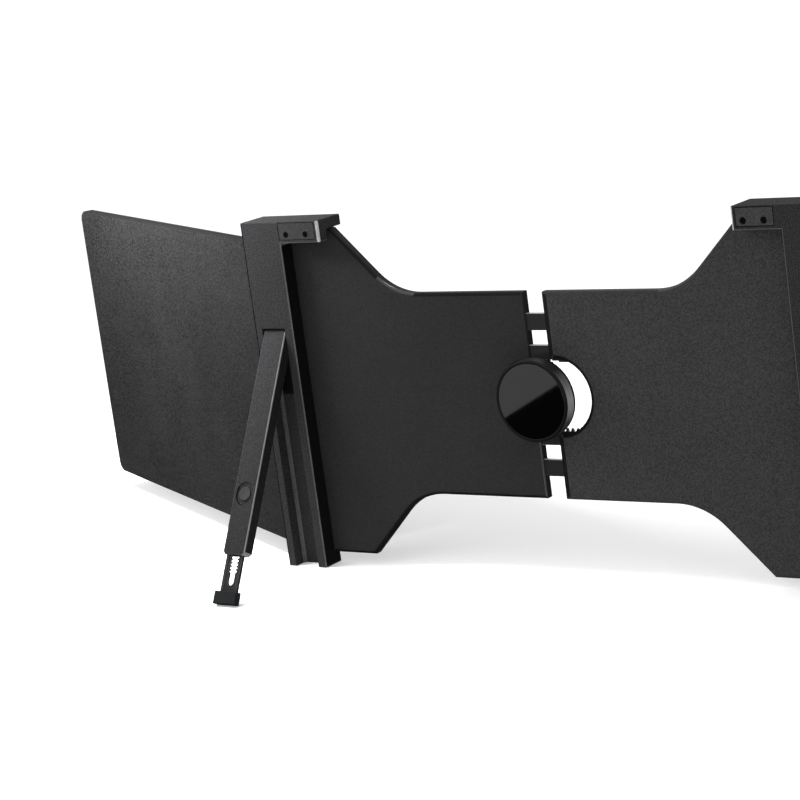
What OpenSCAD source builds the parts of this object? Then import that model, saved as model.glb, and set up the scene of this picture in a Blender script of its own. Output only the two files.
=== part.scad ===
// Laptop screen extender: two side screens on hinged posts that hook over a laptop's lid.
// Millimetres, +Z up. The back of the extender faces -Y, the user sits on the +Y side.
// Each side is described once in outward coordinates (X grows away from the centre) and mirrored.

/* [Posts] */
// Height of each side post
post_h = 233.5; // [228:0.5:240]
// Distance from the centre to a post's inner side
post_in = 181.5; // [181:0.5:184]
// Width of a post
post_w = 31.7; // [31:0.1:33]
// Depth of a post, back to front
post_d = 17.2; // [17.2:0.1:17.6]
// Size of the broken edges on the posts
post_ch = 0.7; // [0.3:0.1:0.9]

/* [Top hooks] */
// Distance from the centre to a hook's inner end
hook_in = 149.5; // [148:0.5:152]
// Height of the hook's arm
hook_h = 14.2; // [14:0.1:15]
// Depth of the hook's arm behind the lid
hook_arm_d = 9.5; // [9:0.1:10]
// Depth of the hook's top over the lid
hook_top_d = 25.2; // [24.8:0.1:26]
// Thickness of the hook's top
hook_top_t = 7.1; // [6.8:0.1:7.4]
// How far the lip hangs down in front of the lid
lip_drop = 3.6; // [3:0.1:4]

/* [Back plates] */
// Distance from the centre to a back plate's edge
gap_half = 7; // [7:0.5:9]
// Height of the middle of the back plates
plate_mid_h = 131.9; // [131:0.1:132.4]
// Back face of the plates, measured from the back of the posts
plate_y = 11.2; // [11:0.1:11.4]
// Radius of the round cut-out in the right plate
cut_r = 24.2; // [24:0.1:24.6]
// Radius of the round cut-out in the left plate, which the knob hides
cut_r_left = 23.2; // [23.1:0.1:23.6]
// Distance from the centre to the middle of the cut-out
cut_x = 9.6; // [9.4:0.1:9.8]
// Radius of the inner corners of the shoulders
shoulder_r = 45; // [40:1:48]

/* [Centre knob and gear] */
// Radius of the centre knob
knob_r = 26; // [25.8:0.1:26.4]
// Gear module of the pinion and the racks
gear_m = 1.2; // [1.2:0.1:1.2]
// Teeth on the pinion
gear_n = 36; // [36:2:36]
// Height of the guide bars
bar_h = 10.6; // [9.5:0.1:10.8]
// Distance from the knob's axis to the near edge of a guide bar
guide_in = 41.2; // [41:0.1:43]

/* [Side screens] */
// Width of a screen from its hinge axis
scr_w = 326; // [322:1:328]
// Height of a screen
scr_h = 206.2; // [205:0.2:207]
// Height of a screen's lower edge
scr_z = 14; // [13.5:0.5:14]
// Thickness of a screen
scr_t = 8; // [8:0.5:8]
// How far each screen is swung forward from flat, at rest
scr_deg = 28; // [0:1:60]
// Radius of the outer corners of a screen
scr_r = 8; // [5:0.5:10]

/* [Legs] */
// Width of a leg
leg_w = 18; // [17:0.5:18]
// Height of the leg's pivot
leg_z = 158.5; // [156:0.5:160]
// Length of the leg's shell from its pivot
leg_len = 149.5; // [146:0.5:150]
// Angle of the left leg from its post, at rest
leg_deg = 29.5; // [20:0.5:35]
// Angle of the right leg from its post, at rest, with its foot pushed in
right_leg_deg = 0; // [0:0.5:20]

/* [Hidden] */
$fn = 48;
zb = 51;                           // lower edge of the middle of the plates
zt = zb + plate_mid_h;
zc = 117.3;                        // height of the knob's axis
post_out = post_in + post_w;
arm_z = post_h - hook_h;
top_z = post_h - hook_top_t;
ax_u = post_out + 1.4;             // hinge axis, outward
ay_left = 17.8;                    // hinge axis of the left screen, from the back of the post
ay_right = 22.2;                   // the right screen folds over the left one
ax_right = ax_u - (ay_right - ay_left) * sin(scr_deg);
leg_y = 4.2;                       // leg pivot, from the back of the post
leg_u = 197.5;                     // middle of the leg
pl_f = post_d;                     // front face of the plates
foot_len = 8.6;
sole_s = (leg_z + 0.1 * sin(leg_deg)) / cos(leg_deg);   // from the pivot to the sole, so that the foot stands on the table
rp = gear_m * gear_n / 2;          // pitch radius
tip_r = rp + 0.8 * gear_m;
root_r = rp - gear_m;
rack_tip = rp - 0.8 * gear_m;
rack_root = rp + gear_m;
rack_out = 31.8;                   // outer edge of a rack, from the knob's axis
stow = sole_s - (leg_z - 0.1);      // how far the right foot is pushed in
y_min = leg_y - ((sole_s - 0.5) * sin(leg_deg) + 4.9 * cos(leg_deg));
y_max = ay_right + ((scr_w - 0.4) * sin(scr_deg) - 5 * cos(scr_deg));
org_y = (y_min + y_max) / 2;       // the origin is under the middle of the object's box

// ---------- helpers ----------

// A box from corner a to corner b
module bx(a, b) translate(a) cube(b - a);

// A square with its four corners cut by c
module csq(w, h, c) polygon([[c, 0], [w - c, 0], [w, c], [w, h - c], [w - c, h], [c, h], [0, h - c], [0, c]]);

// A box with all twelve edges broken by c
module cbx(a, b, c) {
  d = b - a;
  translate(a) intersection() {
    linear_extrude(d[2]) csq(d[0], d[1], c);
    translate([0, d[1], 0]) rotate([90, 0, 0]) linear_extrude(d[1]) csq(d[0], d[2], c);
    rotate([90, 0, 90]) linear_extrude(d[0]) csq(d[1], d[2], c);
  }
}

// A cylinder along +Y from y0 to y1
module cy(x, z, r, y0, y1, fn = 64) translate([x, y0, z]) rotate([-90, 0, 0]) cylinder(r = r, h = y1 - y0, $fn = fn);

// A cone along +Y
module cny(x, z, r0, r1, y0, y1, fn = 64) translate([x, y0, z]) rotate([-90, 0, 0]) cylinder(r1 = r0, r2 = r1, h = y1 - y0, $fn = fn);

// A cylinder along Z
module cz(x, y, r, z0, z1, fn = 48) translate([x, y, z0]) cylinder(r = r, h = z1 - z0, $fn = fn);

// A flat shape drawn in X and Z, between two depths
module xz(y0, y1) translate([0, y1, 0]) rotate([90, 0, 0]) linear_extrude(y1 - y0) children();

// A rounded rectangle of true arcs
module rrect(x0, z0, x1, z1, r) {
  translate([x0 + r, z0]) square([x1 - x0 - 2 * r, z1 - z0]);
  translate([x0, z0 + r]) square([x1 - x0, z1 - z0 - 2 * r]);
  for (x = [x0 + r, x1 - r], z = [z0 + r, z1 - r]) translate([x, z]) circle(r = r, $fn = 48);
}

// Wedge that breaks the straight edge p-q of a flat piece whose back face is at depth y; n points into the piece,
// c is how far it reaches into the piece and d how deep it goes at the edge
module wedge(p, q, n, y, c, d = 0) {
  g = d > 0 ? d : c;
  e = q - p;
  l = norm(e);
  u = e / l;
  multmatrix([[n[0], 0, u[0], p[0] - u[0] * 0], [0, 1, 0, y], [n[1], 0, u[1], p[1] - u[1] * 0], [0, 0, 0, 1]])
    linear_extrude(l) polygon([[-1, -1], [c + c / g, -1], [-1, g + g / c]]);
}

// Puts a piece drawn in outward coordinates on its side: -1 is the left side, 1 the right
module side(s) translate([0, -org_y, 0]) scale_side(s) children();
module scale_side(s) { if (s < 0) mirror([1, 0, 0]) children(); else children(); }

// Puts a piece of a screen, drawn flat from its hinge axis, at the screen's rest angle
module on_screen(s) side(s) translate([s < 0 ? ax_u : ax_right, s < 0 ? ay_left : ay_right, 0]) rotate([0, 0, scr_deg]) children();

// Puts a piece of a leg, drawn hanging straight down from its pivot, at the leg's rest angle
module on_leg(s) side(s) translate([leg_u, leg_y, leg_z]) rotate([s < 0 ? -leg_deg : -right_leg_deg, 0, 0]) children();
// The same for a piece of a foot; the right foot is pushed in
module on_foot(s) on_leg(s) translate([0, 0, s < 0 ? 0 : stow]) children();

// ---------- back plates ----------

slope_a = 77.9;                      // upper shoulder: z = x + slope_a
slope_b = 155.5;                     // lower shoulder: z = slope_b - x
tang = shoulder_r * tan(22.5);
xu = zt - slope_a;                   // where the upper shoulder meets the middle
xl = slope_b - zb;
foot_z = 8;                          // lowest edge of the plates
head_z = top_z - 0.2;                // highest edge

// Centre and radius of a plate's round cut-out
function cut_z(own) = zc - 0.4;
function cut_rad(own) = own ? cut_r_left : cut_r;

// Outline of a back plate, out to x1; the circles leave the inner corners of the shoulders as true arcs
module plate_outline(own, x1) difference() {
  polygon([[gap_half, zb], [xl - tang, zb], [xl + tang / sqrt(2), zb - tang / sqrt(2)], [slope_b - foot_z, foot_z], [x1, foot_z],
    [x1, head_z], [head_z - slope_a, head_z], [xu + tang / sqrt(2), zt + tang / sqrt(2)], [xu - tang, zt], [gap_half, zt]]);
  translate([xu - tang, zt + shoulder_r]) circle(r = shoulder_r, $fn = 180);
  translate([xl - tang, zb - shoulder_r]) circle(r = shoulder_r, $fn = 180);
  translate([cut_x, cut_z(own)]) circle(r = cut_rad(own), $fn = 96);
}

// Cone that bevels the edge of a round hole of radius r by c across and d deep
module hole_bevel(x, z, r, y, c, d, fn) cny(x, z, r + c + c / d, r - c / d, y - 1, y + d + 1, fn);

// A little more than the 45 degrees that a shoulder's arc takes up round its centre, below (-1) or above (1) it
module eighth(x, z, o) polygon([[x, z], [x - 3, z + o * 60], [x + 60 * tan(22.5), z + o * 62], [x + 60 / sqrt(2) + 2, z + o * (60 / sqrt(2) - 2)]]);

// Cutters that break the back edges of a plate by c across and d deep
module plate_bevel(own, y, c, d) {
  // the straight cuts stop just short of the arcs and go a little deeper
  e1 = 0.06; k = c + 0.03; m = d + 0.018;
  ua = [xu + tang / sqrt(2) + e1, zt + tang / sqrt(2) + e1];
  la = [xl + tang / sqrt(2) + e1, zb - tang / sqrt(2) - e1];
  wedge([gap_half, zb - 1], [gap_half, zt + 1], [1, 0], y, own ? 0.8 : 3.4, 0.8);
  wedge([gap_half - 1, zt], [xu - tang - e1, zt], [0, -1], y, k, m);
  wedge([gap_half - 1, zb], [xl - tang - e1, zb], [0, 1], y, k, m);
  wedge(ua, ua + [60, 60], [1, -1] / sqrt(2), y, k, m);
  wedge(la, [slope_b - foot_z + 2, foot_z - 2], [1, 1] / sqrt(2), y, k, m);
  wedge([slope_b - foot_z - 1, foot_z], [post_in - 0.3, foot_z], [0, 1], y, k, m);
  intersection() {
    xz(y - 1, y + 3) eighth(xu - tang, zt + shoulder_r, -1);
    hole_bevel(xu - tang, zt + shoulder_r, shoulder_r, y, c, d, 180);
  }
  intersection() {
    xz(y - 1, y + 3) eighth(xl - tang, zb - shoulder_r, 1);
    hole_bevel(xl - tang, zb - shoulder_r, shoulder_r, y, c, d, 180);
  }
  e = own ? [0.5, 0.5] : [2.2, 0.7];
  intersection() {
    translate([0, y, 0]) bx([gap_half - 1, -1, zc - 30], [cut_x + 30, 2, zc + 30]);
    hole_bevel(cut_x, cut_z(own), cut_rad(own), y, e[0], e[1], 96);
  }
}

// own = 1 when this side's own rack runs along the bottom
bar_y0 = 12.4;
bar_y1 = 15.6;
pin_z = 27.3;                        // locating pins of a rack, from the knob's axis
bar_root = 60;                       // how far a bar is held inside its own plate
bar_free = 92;                       // how far it reaches past the centre
slot_end = 112;                      // end of the channel for the other side's bars

// Channels in a plate for its own two bars and for the other side's two bars
module bar_channels(own) {
  o = own ? -1 : 1;
  // own rack and guide bar, held tight
  bx2(gap_half - 1, bar_root, zc + o * (rack_root - 3), zc + o * rack_out, 12.35, 15.85);
  bx2(gap_half - 1, bar_root, zc - o * guide_in, zc - o * (guide_in + bar_h), 12.35, 15.85);
  // the other side's bars, free to slide
  bx2(gap_half - 1, slot_end, zc - o * (rack_tip - 0.4), zc - o * (rack_out + 0.3), 12.2, 15.85);
  bx2(gap_half - 1, slot_end, zc + o * (guide_in - 0.3), zc + o * (guide_in + bar_h + 0.3), 12.2, 15.85);
}
module bx2(x0, x1, z0, z1, y0, y1) bx([x0, y0, min(z0, z1)], [x1, y1, max(z0, z1)]);

module plate_casting(own) {
  // locating pins for the two bars
  for (x = [24, 50], z = [zc + (own ? -pin_z : pin_z), zc - (own ? -1 : 1) * (guide_in + bar_h / 2)]) cy(x, z, 1.05, 12.1, 15.5, 24);
  plate_body(own);
}
module plate_body(own) difference() {
  union() {
    xz(plate_y, 15.8) plate_outline(own, post_in - 0.3);
    bx([post_in - 1, plate_y + 0.1, foot_z + 0.2], [post_in + 6, 15.1, head_z - 0.2]);
  }
  plate_bevel(own, plate_y, 2, 1.2);
  bar_channels(own);
  // lightening pockets, open to the front
  bx([116, 13, 90], [140, 16, 144]);
  bx([144, 13, 24], [176, 16, 84]);
  bx([144, 13, 90], [176, 16, 144]);
  bx([144, 13, 150], [176, 16, 210]);
}

module plate_front(own) difference() {
  xz(15.8, pl_f) plate_outline(own, post_in - 0.3);
  // thin groove round the panel on the front
  bx([post_in - 3.2, pl_f - 0.3, foot_z + 6], [post_in - 2.6, pl_f + 1, head_z - 6]);
}

// ---------- bars ----------

ph = 20;                             // pressure angle
pitch = PI * gear_m;
// One rack tooth, tip at z = 0 side: half widths at the root and at the tip
hw_p = pitch / 4 - 0.07;
hw_r = hw_p + gear_m * tan(ph);
hw_t = hw_p - 0.8 * gear_m * tan(ph);

// A rack whose teeth point to +Z, drawn below the axis; its free end points to +X
tooth_d = 1.2;                       // depth of the teeth of the racks and of the pinion
rack_top = 22;                       // edge of the part without teeth
rack_top2 = 21.1;                    // the same, clear of the pinion
n0 = -2;
n1 = 13;
module rack_shape() {
  x0 = -bar_root; x1 = bar_free;
  polygon(concat(
    [[x0, -rack_out], [x1 - 2, -rack_out], [x1, -rack_out + 2], [x1, -rack_root], [(n1 + 1) * pitch, -rack_root]],
    [for (i = [n1 : -1 : n0]) let (c = (i + 0.5) * pitch) each [[c + hw_r, -rack_root], [c + hw_t, -rack_tip], [c - hw_t, -rack_tip], [c - hw_r, -rack_root]]],
    [[(n0 - 0.2) * pitch, -rack_root], [(n0 - 0.2) * pitch, -rack_top], [-13, -rack_top], [-13, -rack_top2], [x0, -rack_top2]]));
}
// the full depth of a rack stands back a little from the roots of the teeth
module rack_body() {
  x0 = -bar_root; x1 = bar_free;
  polygon([[x0, -rack_out], [x1 - 2, -rack_out], [x1, -rack_out + 2], [x1, -rack_root - 0.5], [(n0 - 0.2) * pitch, -rack_root - 0.5], [(n0 - 0.2) * pitch, -rack_top], [-13, -rack_top], [-13, -rack_top2], [x0, -rack_top2]]);
}

// own rack at the bottom for the left side; x runs from the own side towards the other side
module rack_bar(s) translate([0, -org_y, zc]) rotate([0, s < 0 ? 0 : 180, 0]) difference() {
  union() {
    xz(bar_y0, bar_y0 + tooth_d) rack_shape();
    xz(bar_y0, bar_y1) rack_body();
  }
  for (x = [-50, -24]) cy(x, -pin_z, 1.1, bar_y0 - 1, bar_y1 + 1, 24);
}

module guide_bar(s) translate([0, -org_y, zc]) rotate([0, s < 0 ? 0 : 180, 0]) difference() {
  xz(bar_y0, bar_y1) polygon([[-bar_root, guide_in], [bar_free - 1.5, guide_in], [bar_free, guide_in + 1.5], [bar_free, guide_in + bar_h - 1.5], [bar_free - 1.5, guide_in + bar_h], [-bar_root, guide_in + bar_h]]);
  for (x = [-50, -24]) cy(x, guide_in + bar_h / 2, 1.1, bar_y0 - 1, bar_y1 + 1, 24);
}

// ---------- hub, knob and pinion ----------

function inv_pt(rb, r) = let (a = acos(rb / r)) tan(a) * 180 / PI - a;   // involute angle, degrees

// Pinion with teeth above and below only, since it turns less than a quarter; its sides are plain arcs
module pinion_shape() {
  rb = rp * cos(ph);
  half = 90 / gear_n - 0.17;                                             // half tooth angle at the pitch circle
  rs = [for (i = [0 : 4]) max(rb, root_r + 0.25) + (tip_r - max(rb, root_r + 0.25)) * i / 4];
  step = 360 / gear_n;
  function ta(r) = half + inv_pt(rb, rp) - inv_pt(rb, r);
  function toothed(k) = let (c = (k * step) % 180) c > 65 && c < 145;
  polygon([for (k = [0 : gear_n - 1]) let (c = k * step)
    each toothed(k)
    ? concat(
      [for (r = [root_r]) [r * cos(c - ta(rs[0]) - 0.35), r * sin(c - ta(rs[0]) - 0.35)]],
      [for (r = rs) [r * cos(c - ta(r)), r * sin(c - ta(r))]],
      [for (i = [4 : -1 : 0]) let (r = rs[i]) [r * cos(c + ta(r)), r * sin(c + ta(r))]],
      [[root_r * cos(c + ta(rs[0]) + 0.35), root_r * sin(c + ta(rs[0]) + 0.35)]])
    : [for (a = [-0.45, -0.15, 0.15, 0.45]) [side_r * cos(c + a * step), side_r * sin(c + a * step)]]]);
}
side_r = 19.6;

module at_hub() translate([0, -org_y, zc]) children();

module pinion_gear() color([0.07, 0.07, 0.075]) at_hub() difference() {
  union() {
    xz(bar_y0, bar_y0 + tooth_d) pinion_shape();
    cy(0, 0, 21.1, 11.4, 12.1, 96);
    cy(0, 0, 19, 12, bar_y0 + 0.1, 96);
    cy(0, 0, 17.2, bar_y0 + tooth_d - 0.1, bar_y1, 96);
    cy(0, 0, 9, 3, 11.5, 64);
    cy(0, 0, knob_r - 0.4, 4.4, 6.5, 128);
  }
  cy(0, 0, 3.04, 0, 17, 48);
}

// Front plate of the hub: a disc with a tongue above and below, in front of the pinion
module hub_plate() color([0.09, 0.09, 0.1]) at_hub() difference() {
  union() {
    cy(0, 0, 17, 15.8, pl_f, 96);
    bx([-6, 15.8, 0], [0.2, pl_f, 21.6]);
    bx([-6, 15.8, -22], [6, pl_f, 0]);
  }
  cy(0, 0, 3.0, 15, 18, 48);
  cy(0, 0, 5.1, 16.3, 18, 48);
}

module hub_axle() color([0.55, 0.55, 0.57]) at_hub() difference() {
  union() {
    cy(0, 0, 2.98, 1.2, 16.4, 48);
    cy(0, 0, 5, 16.3, 17.1, 48);
  }
  cy(0, 0, 1.4, 16.5, 18, 6);
  // groove for the clip
  difference() {
    cy(0, 0, 4, 1.9, 2.7, 48);
    cy(0, 0, 2.3, 1.8, 2.8, 48);
  }
}

module hub_clip() color([0.5, 0.5, 0.52]) at_hub() difference() {
  cy(0, 0, 4.8, 2.0, 2.6, 48);
  cy(0, 0, 2.35, 1, 3, 48);
  bx([-2.2, 1, -6], [2.2, 3, 0]);
}

// Satin side band of the knob, a shallow cup
module knob_shell() color([0.42, 0.42, 0.44]) at_hub() difference() {
  translate([0, -2.9, 0]) rotate([-90, 0, 0]) rotate_extrude($fn = 128)
    polygon([[9.05, 5.8], [9.05, 7.3], [knob_r - 0.35, 7.3], [knob_r, 6.95], [knob_r, 0.3], [knob_r - 0.3, 0], [22.2, 0], [22.2, 1.2], [24.2, 1.2], [24.2, 5.8]]);
}

face_r = 23.8;                       // edge of the face

// Black bevelled ring that holds the face
module knob_rim() color([0.06, 0.06, 0.065]) at_hub()
  translate([0, -3.8, 0]) rotate([-90, 0, 0]) rotate_extrude($fn = 128)
    polygon([[face_r + 0.05, 0.25], [face_r + 0.3, 0], [knob_r - 0.9, 0], [knob_r, 0.9], [knob_r - 0.05, 0.9], [22.2, 0.9], [22.2, 0.7], [face_r + 0.05, 0.7]]);

// Bare gloss face, flush inside the ring
module knob_face() color([0.02, 0.02, 0.022]) at_hub()
  translate([0, -3.7, 0]) rotate([-90, 0, 0]) rotate_extrude($fn = 128)
    polygon([[0, 0], [face_r - 0.2, 0], [face_r, 0.2], [face_r, 0.55], [0, 0.55]]);

// ---------- posts ----------

chn_in = 188;                        // leg channel, inner side
chn_out = 207.2;
chn_d = 9.9;
chn_top = 163;
h1 = [158, 202];                     // upper screen hinge, lowest and highest point
h2 = [30, 74];                       // lower screen hinge
kn = 14;                             // length of a fixed knuckle

// Outer end of the bracket cover and places of its screws; the two sides differ
function cov_out(s) = s < 0 ? 181.9 : 177.3;
function scr_u(s) = s < 0 ? [160.2, 176.1] : [157.4, 170.8];

module post_housing(s, ay) difference() {
  union() {
    cbx([post_in, 0, 0], [post_out, post_d, post_h], post_ch);
    cbx([hook_in, 0, arm_z], [post_out, hook_arm_d, post_h], post_ch);
    cbx([hook_in, 0, top_z], [post_out, hook_top_d, post_h], post_ch);
    // small fillet under the arm
    difference() {
      bx([post_in - 2.5, 0.7, arm_z - 2.5], [post_in + 1, hook_arm_d, arm_z + 1]);
      cy(post_in - 2.5, arm_z - 2.5, 2.5, 0, hook_arm_d + 1, 32);
    }
  }
  // leg channel, open at the back and the bottom, with a broken inner corner
  xy(-1, chn_top) polygon([[chn_in, -1], [chn_out, -1], [chn_out, chn_d - 2], [chn_out - 2, chn_d], [chn_in, chn_d]]);
  // deeper pocket behind the leg's hinge, with a ramp at its lower end
  yz(190, 205.2) polygon([[chn_d - 1, chn_top - 1], [13.4, chn_top - 1], [13.4, 121], [chn_d, 116.5], [chn_d - 1, 116.5]]);
  // tongue of the back plate, and the front cover
  bx([post_in - 1, plate_y, foot_z], [post_in + 6.2, 15.3, head_z]);
  bx([post_in - 1, 15.2, foot_z], [205.7, post_d + 1, 222]);
  // leg pin
  translate([184, leg_y, leg_z]) rotate([0, 90, 0]) cylinder(r = 1.5, h = 27.2, $fn = 32);
  // screen hinges
  for (h = [h1, h2]) {
    bx([205.6, 14.5, h[0] - 0.1], [post_out + 1, post_d + 1, h[1] + 0.1]);
    cz(ay > 20 ? ax_right : ax_u, ay, 3.5, h[0] - 0.3, h[1] + 1.3, 48);
  }
  // recess and chamber under the bracket cover
  bx([152.35, -1, 221.25], [cov_out(s) + 0.15, 1.3, 232.95]);
  bx([155, 1, 222.2], [cov_out(s) - 2.9, 3.1, 231.9]);
  // slots for the steel hook
  bx([155, 2, 229], [180, 24.4, 230.7]);
  bx([155, 22.6, top_z - 1], [180, 24.4, 230.7]);
  // screws
  for (x = scr_u(s)) cy(x, 224.9, 1.05, 0, 8.2, 24);
  // broken upright edge at the arm's inner end
  translate([hook_in, 0, arm_z - 1]) rotate([0, 0, 45]) bx([-1.1, -1.1, 0], [1.1, 1.1, hook_h + 2]);
}

// A flat shape drawn in X and Y, between two heights
module xy(z0, z1) translate([0, 0, z0]) linear_extrude(z1 - z0) children();
// A flat shape drawn in Y and Z, between two x
module yz(x0, x1) translate([x0, 0, 0]) rotate([90, 0, 90]) linear_extrude(x1 - x0) children();

module post_cover() difference() {
  bx([post_in - 0.2, 15.3, foot_z + 0.1], [205.6, post_d, 221.9]);
  // finger notch for lifting the cover off
  bx([190, 16.6, foot_z - 1], [197, post_d + 1, foot_z + 1.6]);
}

module hook_plate(s) {
  bx([155.1, 2.1, 222.4], [cov_out(s) - 3, 3.1, 230.6]);
  bx([155.1, 2.1, 229.1], [179.9, 24.3, 230.6]);
  bx([155.1, 22.8, top_z - lip_drop], [179.9, 24.3, 230.6]);
}
// screw holes through the hook's upright
module hook_plate_d(s) difference() {
  hook_plate(s);
  for (x = scr_u(s)) cy(x, 224.9, 1.2, 0, 5, 24);
}

module bracket_cover(s) difference() {
  cbx([152.5, 0.05, 221.4], [cov_out(s), 2.0, 232.8], 0.3);
  bx([152, 1.25, 221], [182, 3, 233]);
  for (x = scr_u(s)) {
    cy(x, 224.9, 1.2, -1, 3, 24);
    cny(x, 224.9, 2.05, 1.2, 0, 0.85, 32);
    cy(x, 224.9, 2.05, -1, 0.01, 32);
  }
}

module bracket_screws(s) for (x = scr_u(s)) difference() {
  union() {
    cny(x, 224.9, 1.9, 1.0, 0.15, 1.0, 32);
    cy(x, 224.9, 1.0, 0.9, 8, 24);
  }
  // cross recess
  bx([x - 0.22, 0, 224.9 - 1.1], [x + 0.22, 0.55, 224.9 + 1.1]);
  bx([x - 1.1, 0, 224.9 - 0.22], [x + 1.1, 0.55, 224.9 + 0.22]);
}

module lid_pads() {
  // against the back of the lid
  for (p = [[152, 30, 156, 90], [152, 144, 156, 204], [60, 60, 64, 80], [60, 154, 64, 174]])
    xz(pl_f, pl_f + 0.6) rrect(p[0], p[1], p[2], p[3], 1.6);
  // under the hook and behind its lip
  bx([156, 18.6, top_z - 0.6], [179, 21.8, top_z]);
  bx([156, 22.2, top_z - lip_drop + 0.4], [179, 22.8, top_z - 0.9]);
}

module leg_pin() translate([184, leg_y, leg_z]) rotate([0, 90, 0]) cylinder(r = 1.5, h = 27.2, $fn = 32);

// Fixed half of the screen hinges: a leaf let into the post, and two knuckles each
module hinge_base(ax, ay) for (h = [h1, h2]) difference() {
  union() {
    bx([205.7, 14.6, h[0]], [210.9, post_d, h[1]]);
    for (z = [h[0], h[1] - kn]) {
      cz(ax, ay, 3, z, z + kn, 48);
      bx([209, 14.6, z], [ax_u - 1.45, post_d, z + kn]);
      if (ay > 20) bx([ax - 5.5, post_d - 1, z], [ax, ay - 0.4, z + kn]);
    }
  }
  cz(ax, ay, 1.3, h[0] - 1, h[1] + 1, 32);
  // screws that hold the leaf
  for (z = [h[0] + 16.5, h[1] - 16.5]) cy(208.2, z, 1.1, post_d - 0.8, post_d + 1, 24);
}

module hinge_pins(ax, ay) for (h = [h1, h2]) {
  cz(ax, ay, 1.3, h[0], h[1], 32);
  cz(ax, ay, 2.2, h[1], h[1] + 0.9, 32);
}

// ---------- screens, drawn flat from the hinge axis ----------

// back face of a screen, measured from its hinge axis
function sb(s) = s < 0 ? -8.6 : -13;
sx0 = 3.6;                           // inner edge
sz1 = scr_z + scr_h;

// Outline of a screen, small corners towards the hinge and round ones at the outer end
ra = 2.5;
module screen_outline(g = 0) {
  x0 = sx0 + g; x1 = scr_w - g; z0 = scr_z + g; z1 = sz1 - g;
  translate([x0 + ra, z0]) square([x1 - x0 - ra - scr_r, z1 - z0]);
  translate([x0, z0 + ra]) square([ra + 1, z1 - z0 - 2 * ra]);
  translate([x1 - scr_r - 1, z0 + scr_r]) square([scr_r + 1, z1 - z0 - 2 * scr_r]);
  for (z = [z0 + ra, z1 - ra]) translate([x0 + ra, z]) circle(r = ra, $fn = 48);
  for (z = [z0 + scr_r, z1 - scr_r]) translate([x1 - scr_r, z]) circle(r = scr_r, $fn = 64);
}

// Cutters that break a screen's edges by c where it starts at depth 0 and runs to +Y
module screen_edge(c) {
  wedge([sx0, scr_z + ra], [sx0, sz1 - ra], [1, 0], 0, c);
  wedge([scr_w, scr_z + scr_r], [scr_w, sz1 - scr_r], [-1, 0], 0, c);
  wedge([sx0 + ra, scr_z], [scr_w - scr_r, scr_z], [0, 1], 0, c);
  wedge([sx0 + ra, sz1], [scr_w - scr_r, sz1], [0, -1], 0, c);
  for (z = [0, 1]) {
    difference() {
      bx([sx0 - 1, -0.5, z ? sz1 - ra : scr_z - 1], [sx0 + ra, c, z ? sz1 + 1 : scr_z + ra]);
      cny(sx0 + ra, z ? sz1 - ra : scr_z + ra, ra - c - 1, ra + 1, -1, c + 1, 48);
    }
    difference() {
      bx([scr_w - scr_r, -0.5, z ? sz1 - scr_r : scr_z - 1], [scr_w + 1, c, z ? sz1 + 1 : scr_z + scr_r]);
      cny(scr_w - scr_r, z ? sz1 - scr_r : scr_z + scr_r, scr_r - c - 1, scr_r + 1, -1, c + 1, 64);
    }
  }
}

port_z = [22.4, 34.2];               // lower ends of the two USB-C sockets
gx1 = 319.6;                         // outer edge of the glass

module screen_shell(s) difference() {
  translate([0, sb(s), 0]) difference() {
    xz(0, 6.4) screen_outline();
    screen_edge(1);
    difference() {
      union() {
        bx([5, 1.4, 20.4], [324.5, 7, 213.1]);
        bx([12, 1.4, 15.4], [scr_w - 9, 7, sz1 - 1.4]);
      }
      // solid blocks that hold the hinge leaves
      for (h = [h1, h2]) bx([4, 1, h[0] + kn - 4], [8.4, 8, h[1] - kn + 4]);
      // walls round the sockets and the button
      bx([gx1 + 0.1, 1, port_z[0] - 1.4], [330, 8, port_z[1] + 10.6]);
      bx([scr_w - 4.4, 1, 148], [330, 8, 162]);
    }
    for (z = port_z) bx([gx1 + 0.1, 2.4, z - 0.1], [scr_w + 1, 5.6, z + 9.1]);
    bx([scr_w - 3, 2.6, 150], [scr_w + 1, 5.0, 160]);
    // pockets for the hinge leaves
    for (h = [h1, h2]) bx([3, s < 0 ? 3.8 : 3.7, h[0] + kn + 0.2], [8.2, 8, h[1] - kn - 0.2]);
  }
}

// Front frame round the glass
module screen_bezel(s) translate([0, sb(s), 0]) difference() {
  xz(6.4, 8) screen_outline();
  translate([0, 8, 0]) mirror([0, 1, 0]) screen_edge(0.4);
  bx([9.6, 6, 38], [319, 9, 212.1]);
  if (s > 0) for (h = [h1, h2]) bx([3, 6, h[0] + kn + 0.2], [8.2, 9, h[1] - kn - 0.2]);
}

module screen_glass(s) bx([8.6, sb(s) + 5.3, 37.2], [gx1, sb(s) + 6.4, 212.9]);
module screen_backlight(s) bx([8.6, sb(s) + 2.8, 37.2], [gx1, sb(s) + 5.2, 212.9]);
module screen_board(s) {
  bx([230, sb(s) + 1.5, 17], [scr_w - 9.2, sb(s) + 2.4, 36]);
  for (x = [238, 256, 282]) bx([x, sb(s) + 2.3, 19], [x + 9, sb(s) + 3.6, 28]);
  // two fixing bosses
  for (x = [234, 312]) cy(x, 21, 1.6, sb(s) + 2.3, sb(s) + 5, 24);
}
// Two sockets, each a shell with a tongue inside
module screen_ports(s) for (z = port_z) {
  difference() {
    bx([gx1 + 0.2, sb(s) + 2.5, z], [scr_w - 0.2, sb(s) + 5.5, z + 9.0]);
    bx([gx1 + 1, sb(s) + 2.8, z + 0.3], [scr_w + 1, sb(s) + 5.2, z + 8.7]);
  }
  bx([gx1 + 0.9, sb(s) + 3.7, z + 1.5], [scr_w - 1.5, sb(s) + 4.3, z + 7.5]);
}

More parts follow.
